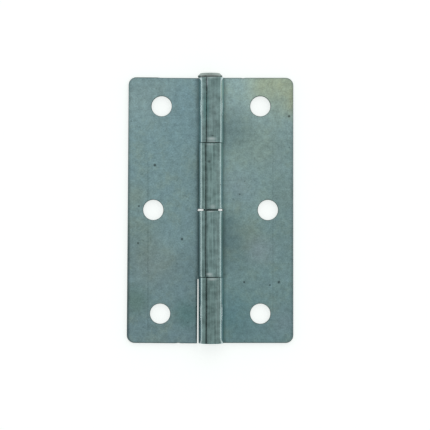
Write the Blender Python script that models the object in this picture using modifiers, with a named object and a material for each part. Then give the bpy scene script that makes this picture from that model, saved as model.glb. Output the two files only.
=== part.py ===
"""Butt hinge with a fixed pin, lying open on its back.

Two leaves of the same stamped sheet, each with two knuckles rolled from its
own metal, turned half round to each other so that the four knuckles
interleave on one round pin with a low upset head.
Metres, +Z up, pin along Y with its head at +Y, leaf backs on Z = 0.
"""

import math

import bmesh
import bpy
from mathutils import Matrix

# Sheet and leaf outline
SHEET = 0.0014
LEAF_LENGTH = 0.0800
LEAF_REACH = 0.02495
CORNER_RADIUS = 0.00235
CORNER_STEPS = 8
EDGE_BREAK = 0.00014

# Screw holes, their centres measured in from the leaf's outer edge and ends
HOLE_DIAMETER = 0.0061
HOLE_END_ROW_EDGE = 0.00995
HOLE_MID_ROW_EDGE = 0.00765
HOLE_END_INSET = 0.0086
HOLE_SIDES = 32

# Knuckles rolled round the pin, an even number shared by the two leaves
PIN_DIAMETER = 0.0045
PIN_CLEARANCE = 0.0001
KNUCKLE_COUNT = 4
KNUCKLE_GAP = 0.00045
SEAM_GAP = 0.0003
NOTCH_CLEARANCE = 0.00045
ROLL_STEP_DEG = 7.0

# How the two leaves sit on the pin
LEFT_SKEW_DEG = 0.43
LEFT_PLAY = 0.0001
LEFT_END_RELIEF = 0.0006
RIGHT_SLIDE = 0.0001

# Upset head and tip of the pin
HEAD_DIAMETER = 0.00755
HEAD_FLAT_DIAMETER = 0.0060
HEAD_HEIGHT = 0.00127
HEAD_RIM = 0.0005
HEAD_RIM_BREAK = 0.00012
HEAD_OFFSET_X = -0.00025
HEAD_SEAT_GAP = 0.0001
HEAD_STEPS = 5
TIP_INSET = 0.0003
TIP_CHAMFER = 0.0005
TURN_STEPS = 48

# Mesh making: how far cutting solids reach past what they cut, how close
# points are welded, and the angles that count as flat and as a sharp edge
CUT_MARGIN = 0.001
WELD_DISTANCE = 0.000001
FLAT_DEG = 0.1
SHARP_DEG = 50.0

# Sizes that follow from the ones above
BORE_RADIUS = PIN_DIAMETER / 2 + PIN_CLEARANCE
BARREL_RADIUS = BORE_RADIUS + SHEET
NOTCH_REACH = math.sqrt((BARREL_RADIUS + NOTCH_CLEARANCE) ** 2 - BORE_RADIUS**2)
KNUCKLE_PITCH = LEAF_LENGTH / KNUCKLE_COUNT
LEAF_END = LEAF_LENGTH / 2
HEAD_BASE = LEAF_END + HEAD_SEAT_GAP
HEAD_TOP = HEAD_BASE + HEAD_HEIGHT
AXIS_Y = (LEAF_END - HEAD_TOP) / 2
AXIS_Z = BARREL_RADIUS


def clear_scene():
    """Remove every object that the file starts with."""
    for obj in list(bpy.data.objects):
        bpy.data.objects.remove(obj, do_unlink=True)


def new_collection(name):
    """Return a new collection linked to the scene."""
    collection = bpy.data.collections.new(name)
    bpy.context.scene.collection.children.link(collection)
    return collection


def linear(channel):
    """Return one sRGB channel of 0 to 255 as a linear value."""
    share = channel / 255
    if share <= 0.04045:
        return share / 12.92
    return ((share + 0.055) / 1.055) ** 2.4


def metal_material(name, srgb, roughness):
    """Return a metallic Principled material of one sRGB colour."""
    material = bpy.data.materials.new(name)
    material.use_nodes = True
    colour = tuple(linear(channel) for channel in srgb) + (1.0,)
    shader = material.node_tree.nodes["Principled BSDF"]
    shader.inputs["Base Color"].default_value = colour
    shader.inputs["Metallic"].default_value = 1.0
    shader.inputs["Roughness"].default_value = roughness
    material.diffuse_color = colour
    material.metallic = 1.0
    material.roughness = roughness
    return material


def left_leaf_material():
    """Blue passivated zinc on the left leaf."""
    return metal_material("zinc_plate_blue", (119, 145, 147), 0.38)


def right_leaf_material():
    """Zinc with a slightly yellow passivation on the right leaf."""
    return metal_material("zinc_plate_warm", (122, 145, 142), 0.38)


def pin_material():
    """Darker drawn steel wire of the pin."""
    return metal_material("drawn_steel_pin", (92, 112, 110), 0.42)


def arc_points(centre, radius, start_deg, end_deg, steps):
    """Return points along a circular arc, both ends included."""
    points = []
    for index in range(steps + 1):
        angle = math.radians(start_deg + (end_deg - start_deg) * index / steps)
        points.append(
            (
                centre[0] + radius * math.cos(angle),
                centre[1] + radius * math.sin(angle),
            )
        )
    return points


def flat_solid(name, outline, thickness, placing):
    """Return a welded mesh object: a closed 2D outline given a thickness.

    The outline lies in an XY plane, with half the thickness on either side.
    The placing matrix then takes it to its place about the pin axis.
    """
    curve = bpy.data.curves.new(name + "_outline", "CURVE")
    curve.dimensions = "2D"
    curve.fill_mode = "BOTH"
    curve.extrude = thickness / 2
    spline = curve.splines.new("POLY")
    spline.points.add(len(outline) - 1)
    for point, (across, along) in zip(spline.points, outline):
        point.co = (across, along, 0.0, 1.0)
    spline.use_cyclic_u = True
    source = bpy.data.objects.new(name + "_outline", curve)
    source.matrix_world = placing
    bpy.context.scene.collection.objects.link(source)
    bpy.context.view_layer.update()
    evaluated = source.evaluated_get(bpy.context.evaluated_depsgraph_get())
    mesh = bpy.data.meshes.new_from_object(evaluated)
    mesh.name = name
    mesh.transform(source.matrix_world)
    shell = bmesh.new()
    shell.from_mesh(mesh)
    bmesh.ops.remove_doubles(shell, verts=shell.verts, dist=WELD_DISTANCE)
    bmesh.ops.dissolve_limit(
        shell,
        angle_limit=math.radians(FLAT_DEG),
        verts=shell.verts,
        edges=shell.edges,
    )
    bmesh.ops.recalc_face_normals(shell, faces=shell.faces)
    shell.to_mesh(mesh)
    shell.free()
    bpy.data.objects.remove(source)
    return bpy.data.objects.new(name, mesh)


def along_pin(middle):
    """Return the placing of a section that is drawn across the pin.

    Its X stays, its Y turns up to Z, and it is centred on the given Y.
    """
    return Matrix.Translation((0.0, middle, 0.0)) @ Matrix.Rotation(math.pi / 2, 4, "X")


def roll_section():
    """Return the leaf's cross-section, seen along the pin from its tip.

    The plate runs out to +X below the axis. Its sheet goes on under the pin,
    up the far side, over the top and down to the plate's own top face.
    """
    end_drop = BORE_RADIUS - SEAM_GAP
    end_deg = -math.degrees(math.asin(end_drop / BARREL_RADIUS))
    start_deg = 270.0
    steps = round((start_deg - end_deg) / ROLL_STEP_DEG)
    outside = arc_points((0.0, 0.0), BARREL_RADIUS, start_deg, end_deg, steps)
    inside = arc_points((0.0, 0.0), BORE_RADIUS, end_deg, start_deg, steps)
    reach = LEAF_REACH + LEFT_PLAY + CUT_MARGIN
    plate = [(reach, -BORE_RADIUS), (reach, -BARREL_RADIUS)]
    return outside + inside + plate


def notch_section(reach):
    """Return the section of the space that the other leaf's knuckle takes.

    It clears the whole roll, and the plate out to its reach from the axis.
    """
    side = BARREL_RADIUS + CUT_MARGIN
    step = -BORE_RADIUS + SEAM_GAP / 2
    return [
        (-side, -side),
        (reach, -side),
        (reach, step),
        (side, step),
        (side, side),
        (-side, side),
    ]


def notch_spans():
    """Return the lower and upper Y of each notch, from the +Y end on."""
    spans = []
    for index in range(0, KNUCKLE_COUNT, 2):
        upper = LEAF_END - index * KNUCKLE_PITCH + KNUCKLE_GAP / 2
        lower = LEAF_END - (index + 1) * KNUCKLE_PITCH - KNUCKLE_GAP / 2
        if index == 0:
            upper += CUT_MARGIN
        spans.append((lower, upper))
    return spans


def seated_point(point, skew_deg, play):
    """Turn a plan point about the leaf's middle and move it outwards."""
    angle = math.radians(skew_deg)
    across = point[0] * math.cos(angle) - point[1] * math.sin(angle)
    along = point[0] * math.sin(angle) + point[1] * math.cos(angle)
    return (across + play, along)


def leaf_outline(skew_deg, play):
    """Return the plan outline of a leaf that reaches out to +X."""
    inner = -BARREL_RADIUS - CUT_MARGIN
    outline = [(inner, LEAF_END), (inner, -LEAF_END)]
    round_x = LEAF_REACH - CORNER_RADIUS
    round_y = LEAF_END - CORNER_RADIUS
    outline += arc_points((round_x, -round_y), CORNER_RADIUS, -90.0, 0.0, CORNER_STEPS)
    outline += arc_points((round_x, round_y), CORNER_RADIUS, 0.0, 90.0, CORNER_STEPS)
    return [seated_point(point, skew_deg, play) for point in outline]


def hole_centres(skew_deg, play):
    """Return the plan centres of a leaf's three screw holes."""
    centres = []
    for row in (1, 0, -1):
        edge = HOLE_MID_ROW_EDGE if row == 0 else HOLE_END_ROW_EDGE
        centre = (LEAF_REACH - edge, row * (LEAF_END - HOLE_END_INSET))
        centres.append(seated_point(centre, skew_deg, play))
    return centres


def punch_solid(name, centres):
    """Return the punches of all screw holes as one cutting solid."""
    punch = bmesh.new()
    depth = SHEET + 2 * CUT_MARGIN
    middle = -BARREL_RADIUS + SHEET / 2
    for across, along in centres:
        made = bmesh.ops.create_cone(
            punch,
            cap_ends=True,
            segments=HOLE_SIDES,
            radius1=HOLE_DIAMETER / 2,
            radius2=HOLE_DIAMETER / 2,
            depth=depth,
        )
        bmesh.ops.translate(punch, verts=made["verts"], vec=(across, along, middle))
    mesh = bpy.data.meshes.new(name)
    punch.to_mesh(mesh)
    punch.free()
    return bpy.data.objects.new(name, mesh)


def add_boolean(obj, name, operation, cutter):
    """Give the object one Boolean modifier."""
    modifier = obj.modifiers.new(name, "BOOLEAN")
    modifier.operation = operation
    modifier.solver = "EXACT"
    modifier.object = cutter


def add_edge_break(obj, width):
    """Break the object's sharp edges with a narrow bevel."""
    modifier = obj.modifiers.new("edge_break", "BEVEL")
    modifier.width = width
    modifier.segments = 1
    modifier.limit_method = "ANGLE"
    modifier.angle_limit = math.radians(SHARP_DEG)
    modifier.use_clamp_overlap = True


def hide_cutter(cutter, collection, parent):
    """Place a cutting solid with its part and keep it out of the render."""
    collection.objects.link(cutter)
    cutter.parent = parent
    cutter.display_type = "WIRE"
    cutter.hide_render = True


def smooth_roll(mesh):
    """Shade the faces of the rolled sheet smooth and leave the plate flat."""
    for face in mesh.polygons:
        from_axis = math.hypot(face.center.x, face.center.z)
        face.use_smooth = abs(face.normal.y) < 0.5 and from_axis < BARREL_RADIUS


def make_leaf(name, turn, seat, material, parts, cutters):
    """Build one leaf: rolled sheet, cut to its outline, notched and punched.

    The turn is about Z, and the seat gives the leaf's skew, its play away
    from the pin, the relief of its end notch and its slide along the pin.
    """
    skew_deg, play, end_relief, slide = seat
    length = LEAF_LENGTH + 2 * CUT_MARGIN
    leaf = flat_solid(name, roll_section(), length, along_pin(0.0))
    parts.objects.link(leaf)
    depth = 2 * (BARREL_RADIUS + CUT_MARGIN)
    blank = flat_solid(name + "_blank", leaf_outline(skew_deg, play), depth, Matrix())
    hide_cutter(blank, cutters, leaf)
    add_boolean(leaf, "outline", "INTERSECT", blank)
    for index, (lower, upper) in enumerate(notch_spans()):
        relief = end_relief if index == 0 else 0.0
        notch = flat_solid(
            f"{name}_notch_{index}",
            notch_section(NOTCH_REACH + relief),
            upper - lower,
            along_pin((lower + upper) / 2),
        )
        hide_cutter(notch, cutters, leaf)
        add_boolean(leaf, f"notch_{index}", "DIFFERENCE", notch)
    add_edge_break(leaf, EDGE_BREAK)
    punches = punch_solid(name + "_punches", hole_centres(skew_deg, play))
    hide_cutter(punches, cutters, leaf)
    add_boolean(leaf, "screw_holes", "DIFFERENCE", punches)
    leaf.data.materials.append(material)
    smooth_roll(leaf.data)
    leaf.rotation_euler = (0.0, 0.0, turn)
    leaf.location = (0.0, slide, 0.0)
    return leaf


def turned_solid(name, profile):
    """Return a profile of (radius, Y) points turned about the pin axis.

    The profile runs down the outer side, from the +Y end to the -Y end.
    """
    mesh = bpy.data.meshes.new(name)
    vertices = [(radius, 0.0, along) for radius, along in profile]
    edges = [(index, index + 1) for index in range(len(profile) - 1)]
    mesh.from_pydata(vertices, edges, [])
    obj = bpy.data.objects.new(name, mesh)
    obj.rotation_euler = (-math.pi / 2, 0.0, 0.0)
    modifier = obj.modifiers.new("turned", "SCREW")
    modifier.axis = "Z"
    modifier.steps = TURN_STEPS
    modifier.render_steps = TURN_STEPS
    modifier.use_merge_vertices = True
    modifier.merge_threshold = WELD_DISTANCE
    modifier.use_smooth_shade = True
    return obj


def shank_profile():
    """Profile of the pin from inside its head to its chamfered tip."""
    radius = PIN_DIAMETER / 2
    tip = -LEAF_END + TIP_INSET
    root = HEAD_BASE + HEAD_HEIGHT / 2
    return [
        (0.0, root),
        (radius, root),
        (radius, tip + TIP_CHAMFER),
        (radius - TIP_CHAMFER, tip),
        (0.0, tip),
    ]


def head_profile():
    """Profile of the upset head: flat top, rounded shoulder, short rim."""
    rim = HEAD_DIAMETER / 2
    flat = HEAD_FLAT_DIAMETER / 2
    shoulder = HEAD_BASE + HEAD_RIM
    points = [(0.0, HEAD_TOP)]
    for index in range(HEAD_STEPS + 1):
        angle = math.pi / 2 * (1 - index / HEAD_STEPS)
        radius = flat + (rim - flat) * math.cos(angle)
        points.append((radius, shoulder + (HEAD_TOP - shoulder) * math.sin(angle)))
    points.append((rim, HEAD_BASE + HEAD_RIM_BREAK))
    points.append((rim - HEAD_RIM_BREAK, HEAD_BASE))
    points.append((0.0, HEAD_BASE))
    return points


def make_pin(name, material, parts, cutters):
    """Build the pin: a turned shank joined to a head upset off its centre."""
    pin = turned_solid(name, shank_profile())
    head = turned_solid(name + "_head", head_profile())
    parts.objects.link(pin)
    hide_cutter(head, cutters, None)
    head.location = (HEAD_OFFSET_X, 0.0, HEAD_DIAMETER / 2 - AXIS_Z)
    add_boolean(pin, "upset_head", "UNION", head)
    pin.data.materials.append(material)
    return pin, head


def main():
    """Build the hinge with every piece placed from the pin axis."""
    clear_scene()
    parts = new_collection("butt_hinge")
    cutters = new_collection("butt_hinge_cutters")
    axis = bpy.data.objects.new("pin_axis", None)
    axis.empty_display_type = "SINGLE_ARROW"
    axis.empty_display_size = LEAF_LENGTH / 4
    axis.location = (0.0, AXIS_Y, AXIS_Z)
    parts.objects.link(axis)
    left_seat = (-LEFT_SKEW_DEG, LEFT_PLAY, LEFT_END_RELIEF, 0.0)
    right_seat = (0.0, 0.0, 0.0, RIGHT_SLIDE)
    left = make_leaf("left_leaf", math.pi, left_seat, left_leaf_material(), parts, cutters)
    right = make_leaf("right_leaf", 0.0, right_seat, right_leaf_material(), parts, cutters)
    pin, head = make_pin("hinge_pin", pin_material(), parts, cutters)
    for obj in (left, right, pin, head):
        obj.parent = axis
    bpy.context.view_layer.update()


main()
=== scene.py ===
"""Dressed scene of a pressed steel butt hinge, open on a white ground.

Each leaf is blanked flat, as in a press, and a Geometry Nodes tree then rolls
its two tabs into knuckles round the pin. The pin is turned, with its head
upset a little off centre. Metres, +Z up, pin along Y with its head at +Y.
The lists of marks on each finish are in millimetres.
"""

import logging
import math
from dataclasses import dataclass
from enum import Enum

import bmesh
import bpy
from mathutils import Matrix, Vector


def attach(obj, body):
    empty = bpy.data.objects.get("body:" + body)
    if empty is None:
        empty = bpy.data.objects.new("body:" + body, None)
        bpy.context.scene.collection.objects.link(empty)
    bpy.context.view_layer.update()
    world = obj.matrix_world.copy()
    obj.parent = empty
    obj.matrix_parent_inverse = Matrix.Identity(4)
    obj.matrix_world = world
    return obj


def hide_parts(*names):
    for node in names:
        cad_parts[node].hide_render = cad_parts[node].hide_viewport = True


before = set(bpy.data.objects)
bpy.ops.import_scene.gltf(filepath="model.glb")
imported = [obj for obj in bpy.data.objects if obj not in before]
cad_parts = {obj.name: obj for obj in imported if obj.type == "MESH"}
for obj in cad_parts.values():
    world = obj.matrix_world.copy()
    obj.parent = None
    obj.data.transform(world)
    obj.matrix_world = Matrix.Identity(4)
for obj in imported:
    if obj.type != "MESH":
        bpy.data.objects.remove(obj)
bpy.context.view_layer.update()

LOG = logging.getLogger("butt_hinge")
MM = 0.001

# Sizes that the leaves, the roll and the pin share
SHEET = 1.4 * MM
LEAF_END = 40.0 * MM
KNUCKLE_PITCH = 20.0 * MM
KNUCKLE_GAP = 0.45 * MM
AXIS_Y = -0.685 * MM
AXIS_Z = 3.75 * MM

# Colours of the marks on the knuckles: pits, painted light and painted shade
PIT = "#33403f"
PAINTED_LIGHT = "#cfe0df"
PAINTED_SHADE = "#2a3b3d"

Point = tuple[float, float]
Colour = tuple[float, float, float, float]
Corner = tuple[float, float, float]
Chip = tuple[float, float, float]
Patch = tuple[float, float, float, str, float]
Speck = tuple[float, float, float]
Smear = tuple[float, float, float, float]
Line = tuple[float, float, float, float, float]
Scratch = tuple[float, float, float, float, float]
Mark = tuple[float, float, float, float, str, float]
Tree = bpy.types.NodeTree
Socket = bpy.types.NodeSocket
Outputs = bpy.types.NodeOutputs


class LeafSide(Enum):
    """The two leaves, named as they lie in the picture."""

    LEFT = "left_leaf"
    RIGHT = "right_leaf"


class Zone(Enum):
    """The material slots of a leaf, in the order of its mesh."""

    PLATE = 0
    KNUCKLE = 1
    EDGE = 2


def linear(code: str) -> Colour:
    """Turn an sRGB hex colour into a linear one.

    Args:
        code: The colour as "#rrggbb".

    Returns:
        Red, green, blue and an alpha of 1.
    """
    channels = []
    for start in (1, 3, 5):
        share = int(code[start : start + 2], 16) / 255
        if share <= 0.04045:
            channels.append(share / 12.92)
        else:
            channels.append(((share + 0.055) / 1.055) ** 2.4)
    return (channels[0], channels[1], channels[2], 1.0)


def add_node(
    tree: Tree,
    kind: str,
    inputs: dict | None = None,
    stops: list[tuple[float, Colour]] | None = None,
    **settings: object,
) -> bpy.types.Node:
    """Add one node with its settings, values and links.

    Args:
        tree: The tree that gets the node.
        kind: The node's type name.
        inputs: Values or output sockets for its inputs, by name or number.
        stops: Places and colours of a colour ramp.
        **settings: Properties of the node.

    Returns:
        The new node.
    """
    node = tree.nodes.new(kind)
    for name, value in settings.items():
        setattr(node, name, value)
    for key, value in (inputs or {}).items():
        if isinstance(value, Socket):
            tree.links.new(value, node.inputs[key])
        else:
            node.inputs[key].default_value = value
    if stops:
        elements = node.color_ramp.elements
        while len(elements) < len(stops):
            elements.new(1.0)
        for element, (place, colour) in zip(elements, stops):
            element.position = place
            element.color = colour
    return node


def new_material(name: str) -> tuple[bpy.types.Material, Tree]:
    """Make a node material with nothing in it.

    Args:
        name: What the real material is and how it was made.

    Returns:
        The material and its tree.
    """
    material = bpy.data.materials.new(name)
    material.use_nodes = True
    material.node_tree.nodes.clear()
    return material, material.node_tree


def finish_metal(
    tree: Tree, colour: Socket, rough: object, relief: Socket, strength: float, depth: float
) -> None:
    """End a material's tree in bare metal.

    Args:
        tree: The material's tree.
        colour: What the metal mirrors of white.
        rough: Its roughness.
        relief: The pattern of its fine relief.
        strength: How strongly the relief shows.
        depth: How deep it is, in millimetres.
    """
    inputs = {"Height": relief, "Strength": strength, "Distance": depth * MM}
    bump = add_node(tree, "ShaderNodeBump", inputs).outputs[0]
    inputs = {"Base Color": colour, "Metallic": 1.0, "Roughness": rough, "Normal": bump}
    shader = add_node(tree, "ShaderNodeBsdfPrincipled", inputs)
    add_node(tree, "ShaderNodeOutputMaterial", {"Surface": shader.outputs[0]})


def link_object(name: str, data: bpy.types.ID) -> bpy.types.Object:
    """Put data into a new object at the origin.

    Args:
        name: Name of the object.
        data: Its mesh, curve or camera.

    Returns:
        The object, linked to the scene.
    """
    obj = bpy.data.objects.new(name, data)
    bpy.context.scene.collection.objects.link(obj)
    return obj


def arc(centre: Point, radius: float, start: float, end: float, steps: int) -> list[Point]:
    """Return points along an arc, both ends included.

    Args:
        centre: Its centre.
        radius: Its radius.
        start: First angle in degrees.
        end: Last angle in degrees.
        steps: How many chords it has.

    Returns:
        The points in order.
    """
    points = []
    for index in range(steps + 1):
        angle = math.radians(start + (end - start) * index / steps)
        points.append((centre[0] + radius * math.cos(angle), centre[1] + radius * math.sin(angle)))
    return points


def filleted(corners: list[Corner], steps: int) -> list[Point]:
    """Round each corner of a closed outline.

    Args:
        corners: X, Y and fillet radius of each corner, in order.
        steps: Chords in each fillet.

    Returns:
        The outline's points.
    """
    points: list[Point] = []
    count = len(corners)
    for index, (x, y, radius) in enumerate(corners):
        if radius <= 0:
            points.append((x, y))
            continue
        here = Vector((x, y))
        before = Vector(corners[index - 1][:2]) - here
        after = Vector(corners[(index + 1) % count][:2]) - here
        half = before.angle(after) / 2
        reach = radius / math.tan(half)
        start = here + before.normalized() * reach
        end = here + after.normalized() * reach
        inward = (before.normalized() + after.normalized()).normalized()
        middle = here + inward * (radius / math.sin(half))
        first = math.degrees(math.atan2(start.y - middle.y, start.x - middle.x))
        last = math.degrees(math.atan2(end.y - middle.y, end.x - middle.x))
        sweep = (last - first + 180) % 360 - 180
        points += arc((middle.x, middle.y), radius, first, first + sweep, steps)
    return points


@dataclass(frozen=True)
class ZincPlate:
    """Electroplated zinc with a thin blue passivation on cold rolled sheet.

    The plating is a soft grey mirror: the rolled grain under it spreads the
    reflection, and the passivation film tints it blue, or yellow where thick.

    A patch of film has its place, its reach, its colour and its share. A
    speck is a pit in the plating, and a smear a wide lighter or darker place
    with its level. A line runs along Y, with its X, half width, middle, half
    length and depth, which is below 0 where it lightens; the lines beside the
    barrel are painted shade or painted light. A scratch has its middle, its
    angle, its half length and its gain. The seat is the middle of the leaf
    and its skew. The rim is how dark the painted shade along the leaf's edge
    is at the head end and at the tip end.
    """

    name: str
    # Tones at the head end, the middle and the tip end; the head end is lighter and the tip end darker
    # as painted light.
    lit_head_end: str
    middle: str
    shaded_tip_end: str
    patches: tuple[Patch, ...]
    specks: tuple[Speck, ...]
    smears: tuple[Smear, ...]
    lines: tuple[Line, ...]
    seat: tuple[float, float, float]
    half_size: Point
    rim: Point
    scratches: tuple[Scratch, ...] = ()
    roughness: float = 0.42
    roughness_drift: float = 0.04
    cloud: float = 9.0 * MM
    grain: float = 0.45 * MM
    blotch: float = 1.6 * MM
    film_drift: float = 5.0 * MM
    pit_raggedness: float = 0.8 * MM
    pit_spacing: float = 3.4 * MM
    # Painted shade beside the barrel: its darkest level, and the span in X over which it fades out.
    crease_shade: float = 0.66
    crease_shade_span: Point = (3.5 * MM, 5.1 * MM)
    pit_level: float = 0.34
    scratch_width: float = 0.22 * MM
    corner: float = 2.35 * MM
    # Painted shade along the outer edges: its width, and the span in Y over which its depth changes.
    rim_shade_width: Point = (0.3 * MM, 1.05 * MM)
    rim_shade_span: Point = (-10.0 * MM, 20.0 * MM)

    def material(self) -> bpy.types.Material:
        """Build the plate's material.

        Returns:
            The material, patterned in the object's own metres.
        """
        material, tree = new_material(self.name)
        place = add_node(tree, "ShaderNodeTexCoord").outputs["Object"]
        parts = add_node(tree, "ShaderNodeSeparateXYZ", {0: place}).outputs
        # Cloudy patches of film about 9 mm wide.
        clouds = add_node(
            tree,
            "ShaderNodeTexNoise",
            {"Vector": place, "Scale": 1 / self.cloud, "Detail": 4.0, "Roughness": 0.6},
        ).outputs["Fac"]
        # Grain of the rolled sheet, drawn at 0.45 mm so that it shows.
        grain = add_node(
            tree,
            "ShaderNodeTexNoise",
            {"Vector": place, "Scale": 1 / self.grain, "Detail": 3.0, "Roughness": 0.7},
        ).outputs["Fac"]
        # Blotches of the passivation bath, 1.6 mm wide.
        blotches = add_node(
            tree,
            "ShaderNodeTexNoise",
            {"Vector": place, "Scale": 1 / self.blotch, "Detail": 2.0, "Roughness": 0.6},
        ).outputs["Fac"]
        mixed = add_node(
            tree, "ShaderNodeMix", {"Factor": 0.4, "A": grain, "B": blotches}, data_type="FLOAT"
        ).outputs[0]
        # Painted light: along Y the tone fades from the lighter head end to the darker tip end.
        fade = add_node(
            tree,
            "ShaderNodeMapRange",
            {"Value": parts["Y"], "From Min": -LEAF_END, "From Max": LEAF_END},
        ).outputs[0]
        drift = add_node(
            tree, "ShaderNodeMath", {0: clouds, 1: 0.55, 2: fade}, operation="MULTIPLY_ADD"
        ).outputs[0]
        level = add_node(
            tree, "ShaderNodeMath", {0: drift, 1: 0.275}, operation="SUBTRACT"
        ).outputs[0]
        tone = add_node(
            tree,
            "ShaderNodeValToRGB",
            {"Fac": level},
            [(0.0, linear(self.shaded_tip_end)), (0.5, linear(self.middle)), (1.0, linear(self.lit_head_end))],
        ).outputs["Color"]
        tinted = self.add_patches(tree, place, clouds, tone)
        shade = add_node(
            tree,
            "ShaderNodeMapRange",
            {"Value": mixed, "From Min": 0.3, "From Max": 0.7, "To Min": 0.70, "To Max": 1.30},
        ).outputs[0]
        marked = self.add_specks(tree, place, shade)
        dusted = self.add_dust_and_crease_shade(tree, place, parts, marked)
        lined = self.add_lines_and_barrel_shade(tree, parts, dusted)
        rimmed = self.add_rim_shade(tree, place, parts, lined)
        handled = self.add_scratches(tree, place, rimmed)
        colour = add_node(
            tree, "ShaderNodeVectorMath", {0: tinted, 1: handled}, operation="MULTIPLY"
        ).outputs[0]
        rough = add_node(
            tree,
            "ShaderNodeMapRange",
            {
                "Value": clouds,
                "From Min": 0.3,
                "From Max": 0.7,
                "To Min": self.roughness - self.roughness_drift,
                "To Max": self.roughness + self.roughness_drift,
            },
        ).outputs[0]
        finish_metal(tree, colour, rough, grain, 0.25, 0.02)
        return material

    def add_patches(self, tree: Tree, place: Socket, clouds: Socket, tone: Socket) -> Socket:
        """Lay thicker or thinner film over the tone, in its own colours.

        Args:
            tree: The material's tree.
            place: Object coordinates.
            clouds: The cloud pattern, which breaks each patch's edge.
            tone: The colour below them.

        Returns:
            The tinted colour.
        """
        # Interference colours of the film wander over about 5 mm.
        wander = add_node(
            tree,
            "ShaderNodeTexNoise",
            {"Vector": place, "Scale": 1 / self.film_drift, "Detail": 5.0, "Roughness": 0.7},
        ).outputs["Fac"]
        for low, high, film in ((0.50, 0.74, "#b0c3a6"), (0.50, 0.26, "#8fb0c0")):
            share = add_node(
                tree,
                "ShaderNodeMapRange",
                {"Value": wander, "From Min": low, "From Max": high, "To Max": 0.3},
            ).outputs[0]
            tone = add_node(
                tree,
                "ShaderNodeMix",
                {"Factor": share, "A": tone, "B": linear(film)},
                data_type="RGBA",
            ).outputs["Result"]
        for x, y, reach, film, most in self.patches:
            away = add_node(
                tree,
                "ShaderNodeVectorMath",
                {0: place, 1: (x * MM, y * MM, SHEET)},
                operation="DISTANCE",
            ).outputs["Value"]
            near = add_node(
                tree,
                "ShaderNodeMapRange",
                {"Value": away, "From Min": reach * MM, "From Max": 0.0, "To Max": most * 2},
                interpolation_type="SMOOTHSTEP",
            ).outputs[0]
            share = add_node(
                tree, "ShaderNodeMath", {0: near, 1: clouds}, operation="MULTIPLY", use_clamp=True
            ).outputs[0]
            tone = add_node(
                tree,
                "ShaderNodeMix",
                {"Factor": share, "A": tone, "B": linear(film)},
                data_type="RGBA",
            ).outputs["Result"]
        return tone

    def add_specks(self, tree: Tree, place: Socket, shade: Socket) -> Socket:
        """Darken the pits in the plating, and shade the smears.

        Args:
            tree: The material's tree.
            place: Object coordinates.
            shade: The brightness factor so far.

        Returns:
            The new brightness factor.
        """
        ragged = add_node(
            tree,
            "ShaderNodeTexNoise",
            {"Vector": place, "Scale": 1 / self.pit_raggedness, "Detail": 2.0},
        ).outputs["Color"]
        shifted = add_node(
            tree,
            "ShaderNodeVectorMath",
            {0: ragged, 1: (0.35 * MM,) * 3, 2: place},
            operation="MULTIPLY_ADD",
        ).outputs[0]
        # The noise shifts every place by about this much.
        shift = 0.17 * MM
        spots = [(x, y, size * 0.35, size, self.pit_level) for x, y, size in self.specks]
        spots += [(x, y, 0.0, size, level) for x, y, size, level in self.smears]
        for x, y, core, size, level in spots:
            centre = (x * MM + shift, y * MM + shift, SHEET + shift)
            away = add_node(
                tree, "ShaderNodeVectorMath", {0: shifted, 1: centre}, operation="DISTANCE"
            ).outputs["Value"]
            factor = add_node(
                tree,
                "ShaderNodeMapRange",
                {
                    "Value": away,
                    "From Min": core * MM,
                    "From Max": size * MM,
                    "To Min": level,
                    "To Max": 1.0,
                },
                interpolation_type="SMOOTHSTEP",
            ).outputs[0]
            shade = add_node(
                tree, "ShaderNodeMath", {0: shade, 1: factor}, operation="MULTIPLY"
            ).outputs[0]
        return shade

    def add_dust_and_crease_shade(self, tree: Tree, place: Socket, parts: Outputs, shade: Socket) -> Socket:
        """Scatter small pits, and paint shade on the plate in the crease by the barrel, which shades
        it.

        Args:
            tree: The material's tree.
            place: Object coordinates.
            parts: The separated object coordinates.
            shade: The brightness factor so far.

        Returns:
            The new brightness factor.
        """
        # Pits a third of a millimetre wide, one or two in each square centimetre.
        cells = add_node(
            tree,
            "ShaderNodeTexVoronoi",
            {"Vector": place, "Scale": 1 / self.pit_spacing},
            voronoi_dimensions="2D",
        ).outputs
        chance = add_node(tree, "ShaderNodeSeparateXYZ", {0: cells["Color"]}).outputs["X"]
        size = add_node(
            tree,
            "ShaderNodeMapRange",
            {"Value": chance, "From Min": 0.80, "From Max": 1.0, "To Max": 0.085},
        ).outputs[0]
        inside = add_node(
            tree, "ShaderNodeMath", {0: size, 1: cells["Distance"]}, operation="SUBTRACT"
        ).outputs[0]
        pit = add_node(
            tree,
            "ShaderNodeMapRange",
            {"Value": inside, "From Max": 0.05, "To Min": 1.0, "To Max": 0.62},
        ).outputs[0]
        dusted = add_node(
            tree, "ShaderNodeMath", {0: shade, 1: pit}, operation="MULTIPLY"
        ).outputs[0]
        # Painted shade: the plate darkens toward the barrel.
        across = add_node(
            tree, "ShaderNodeMath", {0: parts["X"]}, operation="ABSOLUTE"
        ).outputs[0]
        crease_shade = add_node(
            tree,
            "ShaderNodeMapRange",
            {
                "Value": across,
                "From Min": self.crease_shade_span[0],
                "From Max": self.crease_shade_span[1],
                "To Min": self.crease_shade,
                "To Max": 1.0,
            },
            interpolation_type="SMOOTHSTEP",
        ).outputs[0]
        return add_node(
            tree, "ShaderNodeMath", {0: dusted, 1: crease_shade}, operation="MULTIPLY"
        ).outputs[0]

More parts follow.
